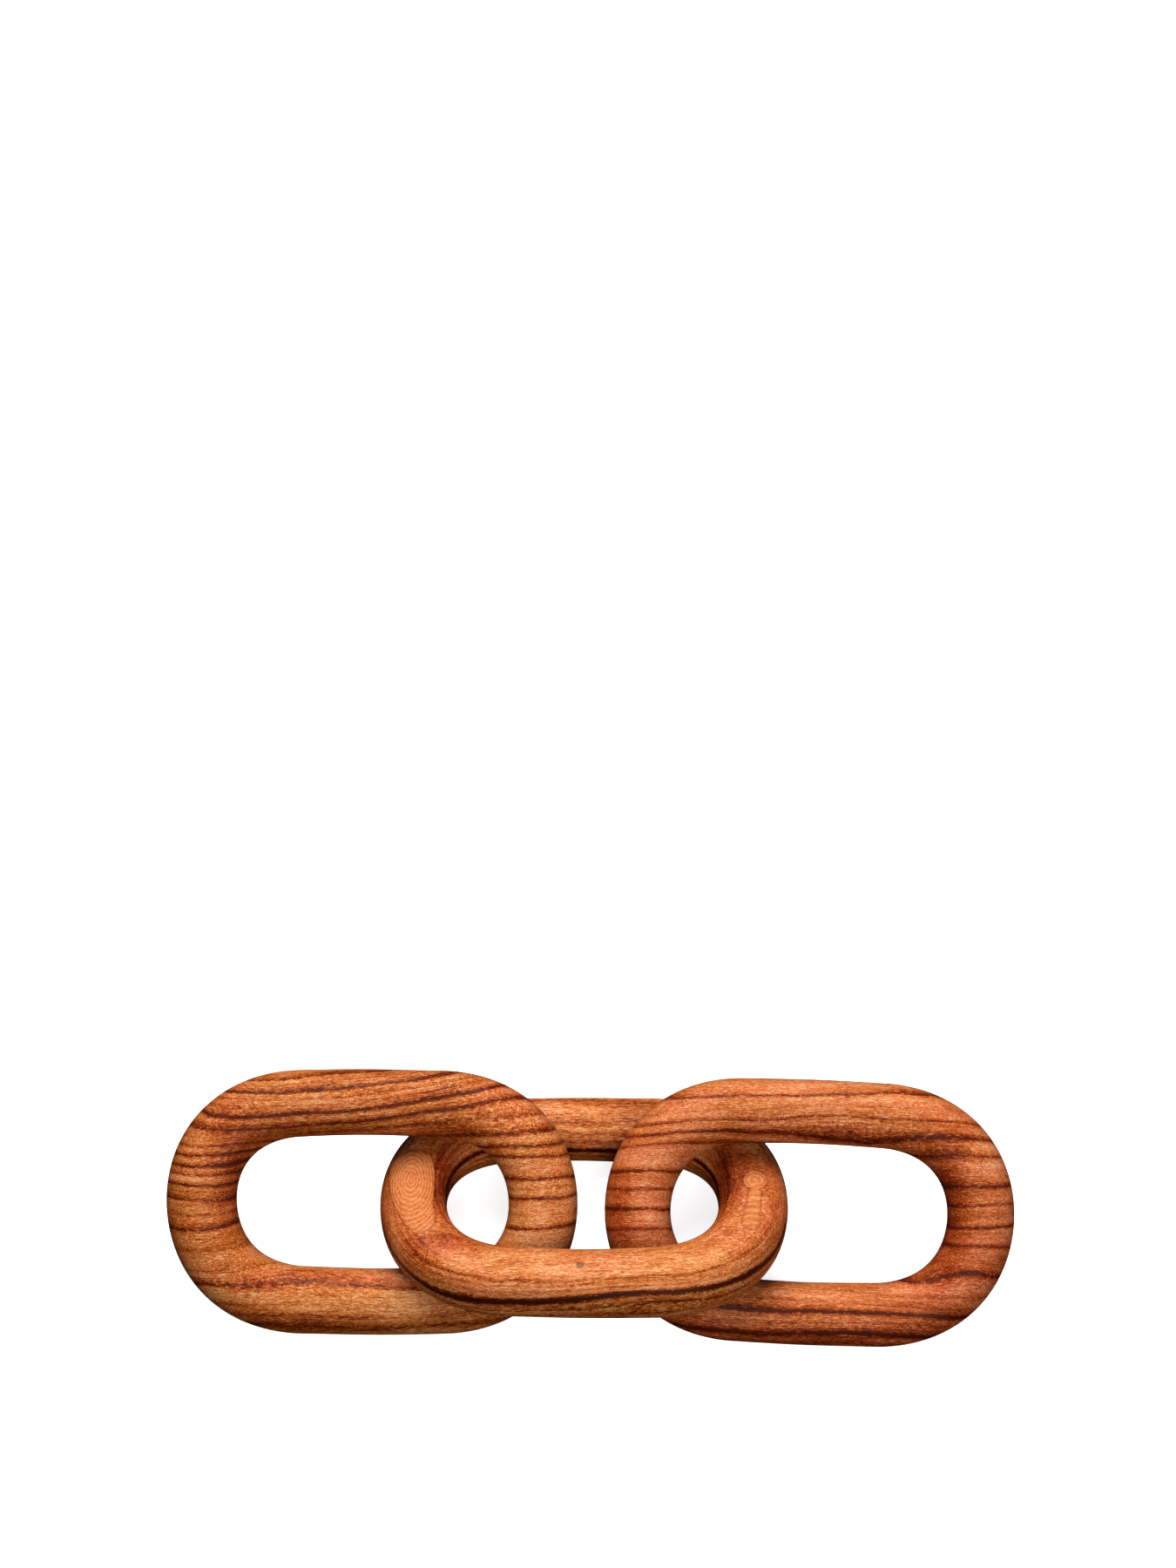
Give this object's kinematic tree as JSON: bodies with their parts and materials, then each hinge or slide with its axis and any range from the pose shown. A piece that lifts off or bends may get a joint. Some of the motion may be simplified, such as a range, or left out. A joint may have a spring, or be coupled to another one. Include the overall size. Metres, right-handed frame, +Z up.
{
  "type": "wooden chain",
  "caption": "Carved hardwood chain of loose interlocked oval links with thick rounded bars, lying collapsed on a table with its links leaning on each other.",
  "frame": {"origin": "middle of the footprint, at the height of the table", "axes": "+X along the chain from the left link to the right one, +Y away from the viewer, +Z up from the table"},
  "size_m": [0.3174, 0.099, 0.0544],
  "materials": {
    "left_wood": "oiled reddish-brown hardwood with dark growth lines and a satin sheen",
    "middle_wood": "oiled reddish-brown hardwood with paler cathedral figure at both ends and a satin sheen",
    "right_wood": "oiled hardwood, a little redder, with dark growth lines and a satin sheen"
  },
  "bodies": {
    "root": {"link_left": "left_wood", "link_middle": "middle_wood", "link_right": "right_wood"}
  },
  "joints": []
}
